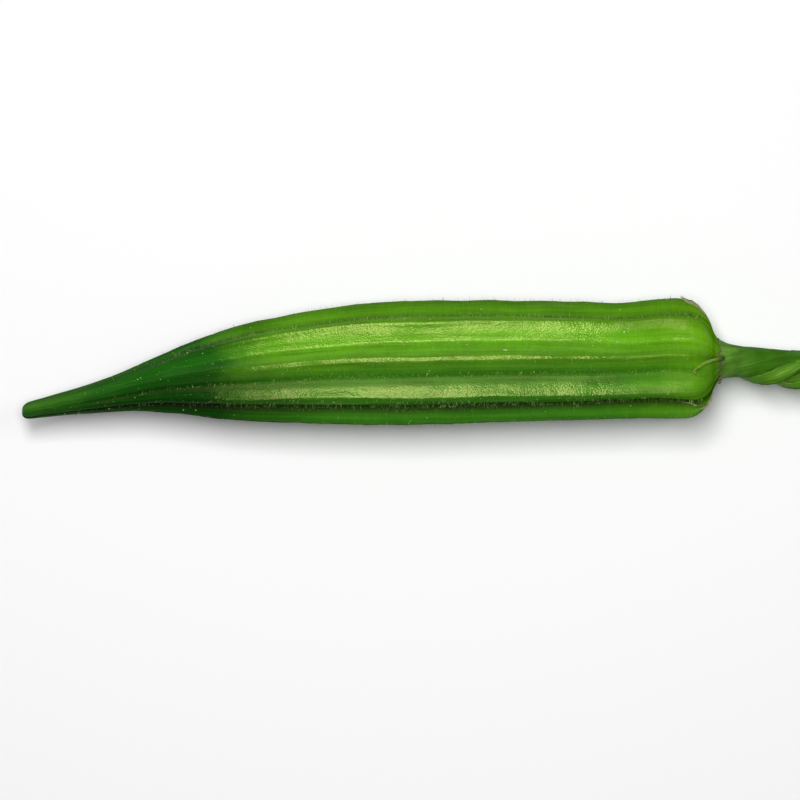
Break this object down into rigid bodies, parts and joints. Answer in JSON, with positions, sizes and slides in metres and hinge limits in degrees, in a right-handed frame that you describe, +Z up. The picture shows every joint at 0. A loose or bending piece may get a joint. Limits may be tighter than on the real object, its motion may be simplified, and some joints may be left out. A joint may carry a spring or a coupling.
{
  "type": "okra pod",
  "caption": "Whole ridged okra pod lying on its side, with a bowed tapering tip and a stalk whose torn bark is twisted round it.",
  "frame": {"origin": "middle of the underside of the part's box, on the surface that the pod lies on", "axes": "+X along the pod towards its stalk, +Z up, +Y to the side away from which the tip bows"},
  "size_m": [0.1578, 0.0252, 0.0222],
  "materials": {
    "pod_skin": "waxy green skin with fine short hairs, satin gloss",
    "stalk_bark": "fresh green bark, matt, torn in strips",
    "dry_calyx": "dry brown plant tissue, matt",
    "bract_green": "wilted olive green, matt"
  },
  "bodies": {
    "root": {"pod": "pod_skin", "stalk": "stalk_bark", "calyx_rim": "dry_calyx", "bract": "bract_green"}
  },
  "joints": []
}
